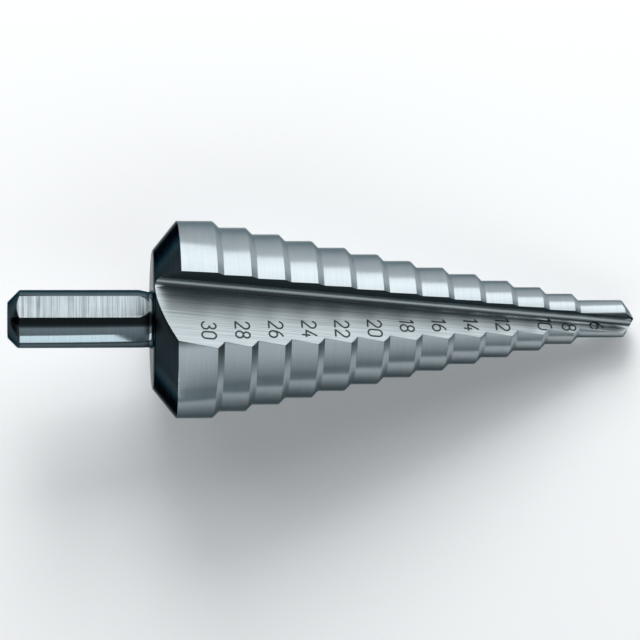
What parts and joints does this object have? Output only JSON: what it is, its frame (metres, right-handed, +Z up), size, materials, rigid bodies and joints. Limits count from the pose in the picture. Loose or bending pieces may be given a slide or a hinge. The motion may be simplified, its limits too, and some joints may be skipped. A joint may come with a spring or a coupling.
{
  "type": "step drill",
  "caption": "Stepped cone drill of high-speed steel with straight flutes, a drill point and a round shank with flats for a three-jaw chuck.",
  "frame": {"origin": "on the surface it lies on, under the middle of its bounding box", "axes": "+X runs along the lying drill towards its point, which slants down a little; +Y across it; +Z up, with one flute facing up"},
  "size_m": [0.0944, 0.0296, 0.0282],
  "materials": {
    "high_speed_steel": "satin"
  },
  "bodies": {
    "root": {"step_drill": "high_speed_steel"}
  },
  "joints": []
}
